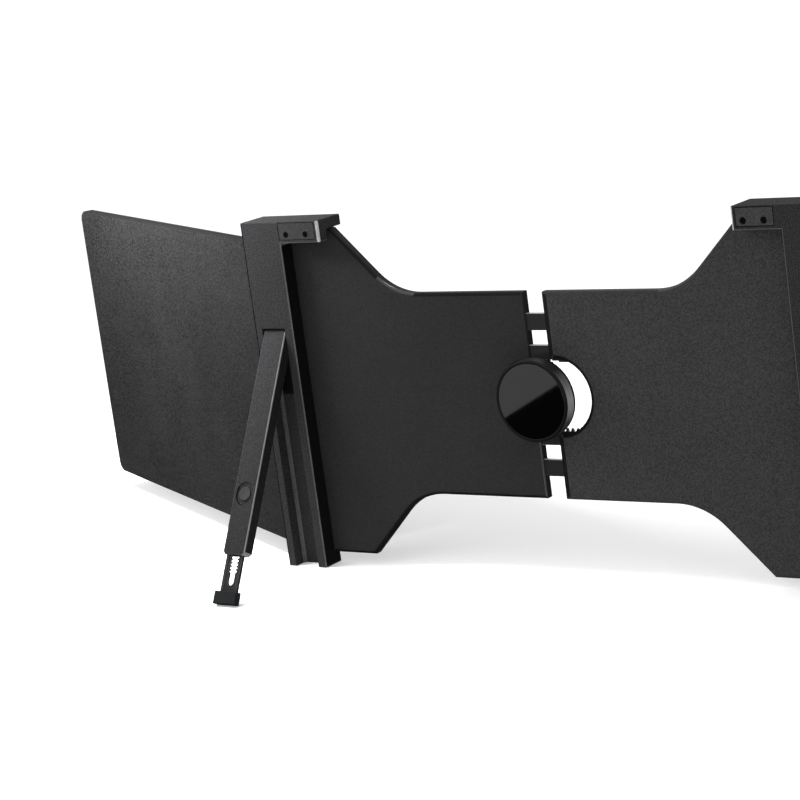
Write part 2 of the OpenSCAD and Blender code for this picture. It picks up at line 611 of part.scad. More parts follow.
module power_button(s) {
  bx([scr_w - 2.0, sb(s) + 2.75, 150.2], [scr_w - 0.1, sb(s) + 4.85, 159.8]);
}

// Moving half of the hinges
module screen_hinge(s) for (h = [h1, h2]) difference() {
  union() {
    cz(0, 0, 3, h[0] + kn + 0.25, h[1] - kn - 0.25, 48);
    if (s < 0) {
      bx([0, -4.7, h[0] + kn + 0.25], [8.1, -2.4, h[1] - kn - 0.25]);
      bx([0, -4.7, h[0] + kn + 0.25], [3.3, -0.8, h[1] - kn - 0.25]);
    } else {
      bx([0, -3, h[0] + kn + 0.25], [8.1, 0.6, h[1] - kn - 0.25]);
      bx([4.7, -9.2, h[0] + kn + 0.25], [8.1, 0.6, h[1] - kn - 0.25]);
    }
  }
  cz(0, 0, 1.35, h[0], h[1], 32);
}

// ---------- legs, drawn hanging down from the pivot ----------
// x across, y from back to front, z down from the pivot

lw = leg_w / 2;
btn_s = 109;                         // middle of the push button, from the pivot
foot_s = sole_s - foot_len;          // top of the foot

module leg_shell() difference() {
  union() {
    yzl(-lw, lw) polygon([[-4, 0], [-4, -leg_len], [3.4, -leg_len], [4, 0.6 - leg_len], [4, 0]]);
    translate([-lw, 0, 0]) rotate([0, 90, 0]) cylinder(r = 4, h = leg_w, $fn = 48);
  }
  // pivot bore
  translate([-lw - 1, 0, 0]) rotate([0, 90, 0]) cylinder(r = 1.55, h = leg_w + 2, $fn = 32);
  // chamber for the slider
  bx([-6.8, -2.5, -leg_len - 1], [6.8, 0.4, -58]);
  // broken back edges
  for (m = [-1, 1]) translate([m * lw, -4, -leg_len - 1]) rotate([0, 0, 45]) bx([-0.5, -0.5, 0], [0.5, 0.5, leg_len + 1]);
  for (m = [-1, 1]) translate([m * lw, 0, -leg_len]) rotate([0, 45, 0]) bx([-1.6, -9, -1.6], [1.6, 9, 1.6]);
  // dished oval round the button
  for (m = [-1, 1]) translate([0, -4.6, -btn_s + m * 1.35]) rotate([-90, 0, 0]) cylinder(r1 = 7.4, r2 = 5.9, h = 1.6, $fn = 64);
  translate([0, 0, -btn_s - 1.35]) linear_extrude(2.7) polygon([[-7.4, -4.6], [7.4, -4.6], [5.9, -3], [-5.9, -3]]);
  // button bore
  translate([0, -5, -btn_s]) rotate([-90, 0, 0]) cylinder(r = 4.55, h = 3, $fn = 48);
  // spring seat behind the slider's chamber
  translate([0, 0, -btn_s]) rotate([-90, 0, 0]) cylinder(r = 2.4, h = 3, $fn = 32);
}
module yzl(x0, x1) translate([x0, 0, 0]) rotate([90, 0, 90]) linear_extrude(x1 - x0) children();

// Push button: dished cap, collar and stem that passes through the slider's slot
module leg_button() translate([0, 0, -btn_s]) rotate([-90, 0, 0]) difference() {
  union() {
    translate([0, 0, -3.8]) cylinder(r = 4.4, h = 0.85, $fn = 48);
    translate([0, 0, -3]) cylinder(r = 1.9, h = 3.25, $fn = 32);
  }
  translate([0, 0, -23.45]) sphere(r = 20, $fn = 96);
}

// Flat coil spring under the stem, drawn at the length it has with the button pressed
module button_spring() translate([0, 2.2, -btn_s]) rotate([-90, 0, 0]) {
  n = 3; k = 14; w = 0.14; r = 1.6; p = 0.4;
  // round wire swept along a helix: n turns, k rings a turn, six points a ring
  pts = [for (i = [0 : n * k]) let (a = 360 * i / k, z = p * i / k - n * p / 2)
         for (j = [0 : 5]) let (b = 60 * j) [(r + w * cos(b)) * cos(a), (r + w * cos(b)) * sin(a), z + w * sin(b)]];
  m = n * k;
  polyhedron(points = pts, faces = concat(
    [[0, 1, 2, 3, 4, 5]],
    [for (i = [0 : m - 1], j = [0 : 5]) let (q = (j + 1) % 6, a = i * 6) each [[a + j, a + 6 + j, a + 6 + q], [a + j, a + 6 + q, a + q]]],
    [[m * 6 + 5, m * 6 + 4, m * 6 + 3, m * 6 + 2, m * 6 + 1, m * 6]]));
}

// Toothed slider with a long slot
slot_w = 2.5;
module foot_slider() difference() {
  union() {
    bx([-6.6, -1.7, -foot_s], [6.6, 0.2, -86]);
    bx([-5, -1.7, -(foot_s + 4)], [5, -0.5, -foot_s + 1]);
    for (m = [-1, 1]) bx([m * 5.85 - 0.75, -2.3, -foot_s], [m * 5.85 + 0.75, 0.2, -86]);
  }
  // slot
  bx([-slot_w, -3, -(foot_s - 4.3 - slot_w)], [slot_w, 1, -90]);
  translate([0, -3, -(foot_s - 4.3 - slot_w)]) rotate([-90, 0, 0]) cylinder(r = slot_w, h = 4, $fn = 32);
  // notches along both sides of the slot
  for (i = [0 : 26], m = [-1, 1]) bx([m * (slot_w + 0.3) - 0.7, -3, -(foot_s - 13 - i * 2.3)], [m * (slot_w + 0.3) + 0.7, 1, -(foot_s - 14.15 - i * 2.3)]);
}

// Rubber foot on the end of the slider
module foot_pad() difference() {
  cbx([-9.2, -4.9, -sole_s], [9.2, 0.4, -foot_s], 0.5);
  bx([-5.02, -1.72, -(foot_s + 4.02)], [5.02, -0.48, -foot_s + 1]);
}

// ---------- nodes ----------

dark = [0.15, 0.15, 0.155];
module left_post_housing() color(dark) side(-1) post_housing(-1, ay_left);
module right_post_housing() color(dark) side(1) post_housing(1, ay_right);
module left_post_cover() color(dark) side(-1) post_cover();
module right_post_cover() color(dark) side(1) post_cover();
module left_plate_casting() color([0.12, 0.12, 0.125]) side(-1) plate_casting(true);
module right_plate_casting() color([0.15, 0.15, 0.155]) side(1) plate_casting(false);
module left_plate_front() color([0.12, 0.12, 0.125]) side(-1) plate_front(true);
module right_plate_front() color([0.12, 0.12, 0.125]) side(1) plate_front(false);
module left_guide_bar() color([0.16, 0.17, 0.17]) guide_bar(-1);
module right_guide_bar() color([0.16, 0.17, 0.17]) guide_bar(1);
module left_rack_bar() color([0.16, 0.17, 0.17]) rack_bar(-1);
module right_rack_bar() color([0.16, 0.17, 0.17]) rack_bar(1);
module left_hook_plate() color([0.2, 0.2, 0.21]) side(-1) hook_plate_d(-1);
module right_hook_plate() color([0.2, 0.2, 0.21]) side(1) hook_plate_d(1);
module left_bracket_cover() color(dark) side(-1) bracket_cover(-1);
module right_bracket_cover() color(dark) side(1) bracket_cover(1);
module left_bracket_screws() color([0.03, 0.03, 0.03]) side(-1) bracket_screws(-1);
module right_bracket_screws() color([0.03, 0.03, 0.03]) side(1) bracket_screws(1);
module left_lid_pads() color([0.08, 0.08, 0.08]) side(-1) lid_pads();
module right_lid_pads() color([0.08, 0.08, 0.08]) side(1) lid_pads();
module left_leg_pin() color([0.6, 0.6, 0.62]) side(-1) leg_pin();
module right_leg_pin() color([0.6, 0.6, 0.62]) side(1) leg_pin();
module left_hinge_base() color([0.1, 0.1, 0.1]) side(-1) hinge_base(ax_u, ay_left);
module right_hinge_base() color([0.1, 0.1, 0.1]) side(1) hinge_base(ax_right, ay_right);
module left_hinge_pins() color([0.6, 0.6, 0.62]) side(-1) hinge_pins(ax_u, ay_left);
module right_hinge_pins() color([0.6, 0.6, 0.62]) side(1) hinge_pins(ax_right, ay_right);
module left_screen_shell() color(dark) on_screen(-1) screen_shell(-1);
module right_screen_shell() color(dark) on_screen(1) screen_shell(1);
module left_screen_bezel() color([0.04, 0.04, 0.04]) on_screen(-1) screen_bezel(-1);
module right_screen_bezel() color([0.04, 0.04, 0.04]) on_screen(1) screen_bezel(1);
module left_screen_glass() color([0.02, 0.02, 0.03]) on_screen(-1) screen_glass(-1);
module right_screen_glass() color([0.02, 0.02, 0.03]) on_screen(1) screen_glass(1);
module left_screen_backlight() color([0.8, 0.8, 0.8]) on_screen(-1) screen_backlight(-1);
module right_screen_backlight() color([0.8, 0.8, 0.8]) on_screen(1) screen_backlight(1);
module left_screen_board() color([0.05, 0.25, 0.1]) on_screen(-1) screen_board(-1);
module right_screen_board() color([0.05, 0.25, 0.1]) on_screen(1) screen_board(1);
module left_screen_ports() color([0.6, 0.6, 0.62]) on_screen(-1) screen_ports(-1);
module right_screen_ports() color([0.6, 0.6, 0.62]) on_screen(1) screen_ports(1);
module left_screen_hinge() color([0.1, 0.1, 0.1]) on_screen(-1) screen_hinge(-1);
module right_screen_hinge() color([0.1, 0.1, 0.1]) on_screen(1) screen_hinge(1);
module left_power_button() color([0.1, 0.1, 0.1]) on_screen(-1) power_button(-1);
module right_power_button() color([0.1, 0.1, 0.1]) on_screen(1) power_button(1);
module left_leg_shell() color(dark) on_leg(-1) leg_shell();
module right_leg_shell() color(dark) on_leg(1) leg_shell();
module left_leg_button() color([0.2, 0.2, 0.21]) on_leg(-1) leg_button();
module right_leg_button() color([0.2, 0.2, 0.21]) on_leg(1) leg_button();
module left_button_spring() color([0.6, 0.6, 0.62]) on_leg(-1) button_spring();
module right_button_spring() color([0.6, 0.6, 0.62]) on_leg(1) button_spring();
module left_foot_slider() color([0.13, 0.13, 0.135]) on_foot(-1) foot_slider();
module right_foot_slider() color([0.13, 0.13, 0.135]) on_foot(1) foot_slider();
module left_foot_pad() color([0.06, 0.065, 0.07]) on_foot(-1) foot_pad();
module right_foot_pad() color([0.06, 0.065, 0.07]) on_foot(1) foot_pad();

hub_plate();
hub_axle();
hub_clip();
knob_shell();
knob_rim();
knob_face();
pinion_gear();
left_post_housing();
left_post_cover();
left_plate_casting();
left_plate_front();
left_guide_bar();
left_rack_bar();
left_hook_plate();
left_bracket_cover();
left_bracket_screws();
left_lid_pads();
left_leg_pin();
left_hinge_base();
left_hinge_pins();
right_post_housing();
right_post_cover();
right_plate_casting();
right_plate_front();
right_guide_bar();
right_rack_bar();
right_hook_plate();
right_bracket_cover();
right_bracket_screws();
right_lid_pads();
right_leg_pin();
right_hinge_base();
right_hinge_pins();
left_screen_shell();
left_screen_bezel();
left_screen_glass();
left_screen_backlight();
left_screen_board();
left_screen_ports();
left_screen_hinge();
left_power_button();
right_screen_shell();
right_screen_bezel();
right_screen_glass();
right_screen_backlight();
right_screen_board();
right_screen_ports();
right_screen_hinge();
right_power_button();
left_leg_shell();
left_leg_button();
left_button_spring();
left_foot_slider();
left_foot_pad();
right_leg_shell();
right_leg_button();
right_button_spring();
right_foot_slider();
right_foot_pad();
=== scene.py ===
import bpy
import bmesh
import math
from mathutils import Matrix, Vector


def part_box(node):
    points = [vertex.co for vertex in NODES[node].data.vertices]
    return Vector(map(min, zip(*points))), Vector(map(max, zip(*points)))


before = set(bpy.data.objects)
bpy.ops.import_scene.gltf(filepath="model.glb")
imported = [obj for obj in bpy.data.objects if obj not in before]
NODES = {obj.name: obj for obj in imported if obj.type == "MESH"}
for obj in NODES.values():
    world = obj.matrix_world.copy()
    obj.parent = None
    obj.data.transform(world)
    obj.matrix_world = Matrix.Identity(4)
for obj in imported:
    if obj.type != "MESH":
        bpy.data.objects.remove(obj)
scene = bpy.context.scene


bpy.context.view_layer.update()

# The construction's own zero in Y is the back of the posts; the row's zero is under the middle of the object.
Y0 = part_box("left_post_housing")[0].y
MM = 0.001


def P(x, y, z):
    """A point given in millimetres, with Y measured from the back of the posts."""
    return Vector((x * MM, y * MM + Y0, z * MM))


# ---------------------------------------------------------------- camera
M = (Vector((0.80785449, 0.57452179, -0.13151363)), Vector((0.01284544, -0.24024827, -0.97062648)), Vector((-0.58924198, 0.78243561, -0.20146563)))
cam_data = bpy.data.cameras.new("camera")
cam = bpy.data.objects.new("camera", cam_data)
scene.collection.objects.link(cam)
cam_data.sensor_width = 36
cam_data.lens = 2619.9148 * 36 / 800
cam_data.clip_start, cam_data.clip_end = 0.05, 100
axes = Matrix((M[0], -M[1], -M[2])).transposed()
cam.matrix_world = Matrix.Translation(P(881.8116, -1306.8683, 452.5801)) @ axes.to_4x4()
scene.camera = cam

# ---------------------------------------------------------------- materials


class Mat:
    """Builds one procedural material round a Principled shader."""

    def __init__(self, name, **sockets):
        self.m = bpy.data.materials.new(name)
        self.m.use_nodes = True
        self.t = self.m.node_tree
        self.s = self.t.nodes["Principled BSDF"]
        self.co = self.t.nodes.new("ShaderNodeTexCoord").outputs["Object"]
        for k, v in sockets.items():
            self.s.inputs[k.replace("_", " ")].default_value = v

    def new(self, kind, **props):
        n = self.t.nodes.new(kind)
        for k, v in props.items():
            setattr(n, k, v)
        return n

    def link(self, a, b):
        self.t.links.new(a, b)

    def noise(self, scale, detail=2.0, rough=0.5, stretch=None, co=None):
        n = self.new("ShaderNodeTexNoise")
        n.inputs["Scale"].default_value = scale
        n.inputs["Detail"].default_value = detail
        n.inputs["Roughness"].default_value = rough
        src = co or self.co
        if stretch:
            m = self.new("ShaderNodeMapping")
            m.inputs["Scale"].default_value = stretch
            self.link(src, m.inputs["Vector"])
            src = m.outputs["Vector"]
        self.link(src, n.inputs["Vector"])
        return n.outputs["Fac"]

    def ramp(self, fac, stops):
        r = self.new("ShaderNodeValToRGB")
        el = r.color_ramp.elements
        while len(el) < len(stops):
            el.new(0.5)
        for e, (pos, c) in zip(el, stops):
            e.position = pos
            e.color = (*c, 1) if len(c) == 3 else c
        self.link(fac, r.inputs["Fac"])
        return r.outputs["Color"]

    def span(self, fac, lo, hi, a=0.0, b=1.0):
        r = self.new("ShaderNodeMapRange")
        for k, v in (("From Min", a), ("From Max", b), ("To Min", lo), ("To Max", hi)):
            r.inputs[k].default_value = v
        self.link(fac, r.inputs["Value"])
        return r.outputs["Result"]

    def math(self, op, a, b):
        n = self.new("ShaderNodeMath", operation=op)
        for i, v in enumerate((a, b)):
            if hasattr(v, "is_linked") or not isinstance(v, (int, float)):
                self.link(v, n.inputs[i])
            else:
                n.inputs[i].default_value = v
        return n.outputs["Value"]

    def bump(self, height, strength, distance, under=None):
        b = self.new("ShaderNodeBump")
        b.inputs["Strength"].default_value = strength
        b.inputs["Distance"].default_value = distance
        self.link(height, b.inputs["Height"])
        if under:
            self.link(under, b.inputs["Normal"])
        self.link(b.outputs["Normal"], self.s.inputs["Normal"])
        return b.outputs["Normal"]


def grey(v, tint=(1.0, 1.0, 1.0)):
    return tuple(v * t for t in tint)


COOL = (0.985, 0.995, 1.03)


def textured(name, v, rough=0.55, grain=0.22, size=1.0, tint=(1, 1, 1), bump=0.35, wear=0.06, spec=0.10, shade=None):
    """Moulded or powder-coated dark surface: fine mottled grain, faint handling marks and a pebbled bump.
    shade(m) may give a mask of painted shade that darkens the surface where it is 1."""
    m = Mat(name, Roughness=rough)
    m.s.inputs["Specular IOR Level"].default_value = spec
    fine = m.noise(1000 / size, 2.0, 0.6)
    cloud = m.noise(14, 3.0, 0.6)
    tone = m.math("ADD", m.math("MULTIPLY", fine, 1 - wear * 2), m.math("MULTIPLY", cloud, wear * 2))
    lo, hi = v * max(0.05, 1 - grain * 2.2), v * (1 + grain * 2.2)
    stops = [(0.37, grey(lo, tint)), (0.63, grey(hi, tint))]
    if shade:
        tone = m.math("SUBTRACT", tone, m.math("MULTIPLY", shade(m), 0.6))
        stops.insert(0, (0.05, grey(v * 0.12, tint)))
    m.link(m.ramp(tone, stops), m.s.inputs["Base Color"])
    m.link(m.span(cloud, rough - 0.05, rough + 0.06, 0.3, 0.7), m.s.inputs["Roughness"])
    pebble = m.noise(1500 / size, 1.5, 0.5)
    m.bump(pebble, bump, 0.00008 * size)
    return m.m


def smooth_edge(name, v, rough=0.42, tint=(1, 1, 1), spec=0.35):
    """The same surface on a broken edge in a tone of its own: lighter than the face it paints a highlight along the
    edge, near black it paints shade along it.
    """
    m = Mat(name)
    m.s.inputs["Specular IOR Level"].default_value = spec
    n = m.noise(260, 3.0, 0.6)
    m.link(m.ramp(n, [(0.3, grey(v * 0.85, tint)), (0.7, grey(v * 1.18, tint))]), m.s.inputs["Base Color"])
    m.link(m.span(n, rough - 0.04, rough + 0.08, 0.3, 0.7), m.s.inputs["Roughness"])
    m.bump(m.noise(900, 1.0), 0.03, 0.00004)
    return m.m




def painted_gap_shadow(m):
    """1 in the last millimetre before a post's outer edge, where a painted shadow line darkens the post next to the gap
    to the screen.
    """
    x = m.new("ShaderNodeSeparateXYZ")
    m.link(m.co, x.inputs["Vector"])
    return m.span(m.math("ABSOLUTE", x.outputs["X"], 0), 0.0, 1.0, 0.21175, 0.21200)


# posts: a painted shadow line darkens their outer edge
post_m = textured("post_texture", 0.0235, 0.55, 0.22, 0.9, COOL, 0.35, 0.06, 0.08, painted_gap_shadow)
# broken edges of posts and covers: about three times lighter than the posts, a painted highlight
post_edge_highlight = smooth_edge("post_edge_painted_highlight", 0.075, 0.42, COOL, 0.2)
top_m = textured("post_top_texture", 0.024, 0.6, 0.20, 0.9, COOL, 0.3, 0.06, 0.05)
# inner sides of the posts: the post finish at a fifth of its tone, painted shade
post_side_shade = textured("post_side_painted_shade", 0.005, 0.55, 0.10, 0.9, COOL, 0.2, 0.05, 0.08)
# the left plate is coloured about half as light as the right: the two tones are painted shade and painted light on one
# coat
left_plate_shaded = textured("left_plate_coat_painted_shade", 0.0185, 0.6, 0.11, 0.8, (1, 1, 1), 0.2, 0.06, 0.08)
right_plate_lit = textured("right_plate_coat_painted_light", 0.033, 0.6, 0.16, 0.9, (1, 1, 1), 0.3, 0.06, 0.08)
# near-black broken edges: painted shade round the knob's window, on the plates' edges and the right gap edge, in the
# pocket behind each leg, on the posts' outward chamfers and in the leg button's dish
near_black_shade = smooth_edge("plate_arris_painted_shade", 0.006, 0.5, (1, 1, 1), 0.1)
slope_m = smooth_edge("plate_bevel", 0.018, 0.15, (1, 1, 1), 0.55)
# left plate's gap edge: lighter than the plate, a painted highlight line
left_gap_highlight = smooth_edge("left_gap_painted_highlight", 0.060, 0.45, (1, 1, 1), 0.15)
bevel_r = smooth_edge("right_bevel", 0.030, 0.5, (1, 1, 1), 0.1)
# side walls of the left plate: darker than its back, painted shade
left_wall_shade = textured("left_plate_wall_painted_shade", 0.012, 0.5, 0.08, 0.8, (1, 1, 1), 0.10, 0.05, 0.12)
wall_r = textured("right_plate_wall", 0.030, 0.5, 0.08, 0.8, (1, 1, 1), 0.10, 0.05, 0.15)
seam_m = smooth_edge("cover_seam", 0.004, 0.5, (1, 1, 1), 0.08)
screen_m = textured("screen_back_texture", 0.0120, 0.6, 0.36, 0.95, (1, 1, 1), 0.45, 0.06, 0.07)
# top and bottom faces of the screens: darker than the back, painted shade
screen_top_shade = textured("screen_top_painted_shade", 0.007, 0.6, 0.15, 0.9, (1, 1, 1), 0.2, 0.06, 0.04)
# broken edges of the screens and power buttons: lighter than the back, a painted highlight
screen_e = smooth_edge("screen_edge", 0.022, 0.5, (1, 1, 1), 0.1)
leg_m = textured("leg_texture", 0.024, 0.6, 0.16, 0.8, COOL, 0.3, 0.06, 0.06)
# broken edges of the legs and buttons: lighter than the legs, a painted highlight
leg_edge_highlight = smooth_edge("leg_edge_painted_highlight", 0.06, 0.42, COOL, 0.2)
# flat sides of the legs: half the legs' tone, painted shade
leg_side_shade = textured("leg_side_painted_shade", 0.012, 0.6, 0.12, 0.8, COOL, 0.2, 0.05, 0.04)
# right-facing chamfers of the legs: a painted highlight line
leg_glint_highlight = smooth_edge("leg_painted_glint", 0.16, 0.40, COOL, 0.3)
# inner end of each bracket arm: a near-white painted highlight on its chamfer
arm_end_highlight = smooth_edge("arm_end_painted_highlight", 0.42, 0.28, COOL, 0.5)
cover_m = textured("cover_texture", 0.0280, 0.5, 0.13, 0.8)
# the right bracket cover is coloured lighter than the left: painted light on the same cover finish
right_cover_lit = textured("right_cover_painted_light", 0.0400, 0.5, 0.13, 0.8)
slider_m = textured("slider_moulding", 0.018, 0.42, 0.10, 0.7)
# edges of the foot sliders: much lighter than the slider, a painted highlight
slider_edge_highlight = smooth_edge("slider_edge_painted_highlight", 0.15, 0.4)
gear_m = textured("gear_moulding", 0.006, 0.45, 0.10, 0.8, (1, 1, 1), 0.2, 0.06, 0.15)
hub_m = textured("hub_moulding", 0.014, 0.5, 0.12, 0.8)
hinge_m = textured("hinge_paint", 0.016, 0.40, 0.08, 0.6)
# broken edges of the hinges: lighter than the paint, a painted highlight
hinge_edge_highlight = smooth_edge("hinge_edge_painted_highlight", 0.05, 0.35)
bezel_m = textured("bezel_texture", 0.014, 0.48, 0.12, 0.7)
button_m = textured("leg_button_satin", 0.036, 0.5, 0.08, 0.6, (1, 1, 1), 0.2, 0.06, 0.08)
small_m = textured("small_button_moulding", 0.03, 0.42, 0.1, 0.6)


def rubber(name, v, tint):
    m = Mat(name)
    n = m.noise(420, 3.0, 0.65)
    dust = m.noise(60, 4.0, 0.7)
    m.link(m.ramp(m.math("ADD", m.math("MULTIPLY", n, 0.6), m.math("MULTIPLY", dust, 0.4)), [(0.3, grey(v * 0.8, tint)), (0.72, grey(v * 1.3, tint))]), m.s.inputs["Base Color"])
    m.link(m.span(dust, 0.62, 0.82, 0.3, 0.7), m.s.inputs["Roughness"])
    m.s.inputs["Specular IOR Level"].default_value = 0.2
    m.bump(n, 0.3, 0.00008)
    return m.m


foot_m = rubber("foot_rubber", 0.0090, (0.93, 1.0, 1.08))
pad_m = rubber("pad_rubber", 0.02, (1, 1, 1))


def brushed(name, v, rough, stretch, metallic=1.0, tint=(1, 1, 1), contrast=0.25):
    m = Mat(name, Metallic=metallic)
    n = m.noise(300, 2.0, 0.6, stretch)
    m.link(m.ramp(n, [(0.25, grey(v * (1 - contrast), tint)), (0.75, grey(v * (1 + contrast), tint))]), m.s.inputs["Base Color"])
    m.link(m.span(n, rough - 0.06, rough + 0.08, 0.3, 0.7), m.s.inputs["Roughness"])
    m.bump(n, 0.08, 0.00005)
    return m.m


steel_m = brushed("steel", 0.45, 0.32, (1, 1, 0.15))
socket_m = brushed("plated_socket", 0.5, 0.3, (1, 1, 1))
bar_m = brushed("bar_anodised", 0.007, 0.45, (0.12, 1, 1), 0.0, (0.96, 1.0, 1.0), 0.12)
# top faces of the bars: near white, a painted highlight
bar_top_highlight = smooth_edge("bar_top_painted_highlight", 0.45, 0.32)


def turned(name, v, rough, zc):
    """Turned side of the knob: fine rings round its axis, and a painted highlight that makes it brightest at mid height
    and dark towards top and bottom.
    """
    m = Mat(name, Metallic=0.25)
    rings = m.noise(700, 1.0, 0.5, (0.02, 1.0, 0.02))
    fine = m.noise(500, 2.0)
    p = m.new("ShaderNodeSeparateXYZ")
    m.link(m.co, p.inputs["Vector"])
    # painted highlight by height, plus the lathe rings' faint variation
    painted_sheen_and_rings = m.math("ADD", m.span(p.outputs["Z"], 0.0, 1.0, zc - 0.026, zc + 0.026), m.math("MULTIPLY", rings, 0.06))
    m.link(m.ramp(painted_sheen_and_rings, [(0.05, grey(v * 0.04)), (0.26, grey(v * 0.16)), (0.42, grey(v * 0.8)), (0.55, grey(v)), (0.72, grey(v * 0.5)), (0.90, grey(v * 0.05))]), m.s.inputs["Base Color"])
    m.link(m.span(fine, rough - 0.04, rough + 0.06, 0.3, 0.7), m.s.inputs["Roughness"])
    m.s.inputs["Specular IOR Level"].default_value = 0.2
    m.s.inputs["Anisotropic"].default_value = 0.5
    m.bump(rings, 0.12, 0.00004)
    return m.m


band_m = turned("knob_band_turned_painted_sheen", 0.42, 0.45, (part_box("knob_face")[0].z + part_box("knob_face")[1].z) / 2)


def gloss(name, v, rough=0.06, coat=0.6, smudge=0.05):
    m = Mat(name)
    m.s.inputs["Base Color"].default_value = (*grey(v), 1)
    n = m.noise(35, 4.0, 0.65)
    m.link(m.span(n, rough, rough + smudge, 0.45, 0.8), m.s.inputs["Roughness"])
    m.s.inputs["Coat Weight"].default_value = coat
    m.s.inputs["Coat Roughness"].default_value = 0.03
    return m.m


rim_m = gloss("knob_rim_gloss", 0.006, 0.36, 0.0, 0.06)
rim_m.node_tree.nodes["Principled BSDF"].inputs["Specular IOR Level"].default_value = 0.1
face_m = gloss("knob_face_gloss", 0.0006, 0.025, 0.0, 0.01)
screw_m = gloss("screw_oxide", 0.003, 0.45, 0.0, 0.1)
screw_m.node_tree.nodes["Principled BSDF"].inputs["Specular IOR Level"].default_value = 0.03
display_m = gloss("display_panel", 0.010, 0.16, 0.3, 0.05)
board_m = textured("board_mask", 0.05, 0.45, 0.2, 0.8, (0.3, 1.0, 0.5))
backlight_m = textured("diffuser", 0.7, 0.6, 0.03, 1.0)

# ---------------------------------------------------------------- CAD nodes: broken edges and finishes


def dress(node, main, edge=None, width=0.25, segments=2, angle=32, pick=None, more=(), planar=True):
    """Materials, fine broken edges and shading; pick(normal, centre) gives a face's material slot.
    planar=False keeps the CAD triangles: flat faces with holes in them are filled in wrongly once merged and bevelled."""
    o = NODES[node]
    o.data.materials.clear()
    for mat in (main, edge, *more):
        if mat is not None:
            o.data.materials.append(mat)
    inside = o.matrix_world
    turn = inside.to_3x3()
    for p in o.data.polygons:
        p.use_smooth = True
        p.material_index = pick(turn @ p.normal, inside @ p.center) if pick else 0
    w = o.modifiers.new("weld", "WELD")
    w.merge_threshold = 0.000002
    if planar:
        d = o.modifiers.new("planar", "DECIMATE")
        d.decimate_type = "DISSOLVE"
        d.angle_limit = math.radians(0.4)
    if width:
        b = o.modifiers.new("edges", "BEVEL")
        b.width = width * MM
        b.segments = segments
        b.limit_method = "ANGLE"
        b.angle_limit = math.radians(angle)
        b.use_clamp_overlap = True
        b.harden_normals = False
        b.miter_outer = "MITER_ARC"
        if edge is not None:
            b.material = 1
    n = o.modifiers.new("normals", "WEIGHTED_NORMAL")
    n.keep_sharp = True
    n.weight = 80
    return o


POST_IN = 0.1815
ARM_IN = min(abs(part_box("left_post_housing")[0].x), abs(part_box("left_post_housing")[1].x))
KNOB = (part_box("knob_face")[0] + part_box("knob_face")[1]) / 2


def post_faces(side):
    inward = 1 if side == "left" else -1

    def pick(n, c):
        # inner side faces: painted shade
        if n.x * inward > 0.9 and abs(abs(c.x) - POST_IN) < 0.001:
            return 2
        if n.z > 0.3 and c.z > 0.2:
            return 5
        # the pocket behind the leg's upper part: near black, painted shade
        if c.y - Y0 > 0.0105 and c.z > 0.1165 and 0.1895 < abs(c.x) < 0.2055:
            return 3
        if max(abs(n.x), abs(n.y), abs(n.z)) < 0.93:
            # the arm's inner-end chamfer takes the painted highlight
            if abs(c.x) < ARM_IN + 0.002 and n.y < -0.3:
                return 4
            # outward chamfers near black, painted shade; the other chamfers lighter, a painted highlight
            return 3 if n.x * inward < -0.2 else 1
        return 0
    return pick


def plate_faces(side):
    mid = 1 if side == "left" else -1

    def pick(n, c):
        if abs(n.y) < 0.25:
            return 2
        if abs(n.y) > 0.985:
            return 0
        # the bevel round the knob's window: near black, painted shade
        if math.hypot(c.x - KNOB.x, c.z - KNOB.z) < 0.045 and abs(c.x) > 0.0102:
            return 1
        if abs(n.z) < 0.1:
            # side faces: near black on the right plate, painted shade; on the left plate below the knob, a lighter
            # painted highlight
            return 4 if side == "right" or c.z < KNOB.z else 0
        # only the shoulder's curve shines; its two straight neighbours stay dull, near black on the left plate as
        # painted shade
        turn = abs(math.degrees(math.atan2(-n.x * mid, n.z)))
        return 3 if 4 < turn < 41 and n.z > 0 else 5
    return pick


def leg_faces(side):
    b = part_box(f"{side}_leg_button")
    mid = (b[0] + b[1]) / 2

    def pick(n, c):
        # right-facing chamfers get the painted glint, left-facing ones the lighter painted-highlight edge
        if 0.2 < abs(n.x) < 0.93 and (c - mid).length > 0.012:
            return 2 if n.x > 0 else 1
        # the button's dish: near black, painted shade in the recess
        if (c - mid).length < 0.009 and abs(n.y) < 0.8:
            return 3
        # flat sides take the painted-shade material
        if abs(n.x) > 0.95:
            return 4
        return 0
    return pick


def slanted(n, c):
    return 1 if max(abs(n.x), abs(n.y), abs(n.z)) < 0.93 else 0


def rims(n, c):
    return 0 if abs(n.y) > 0.97 else 1


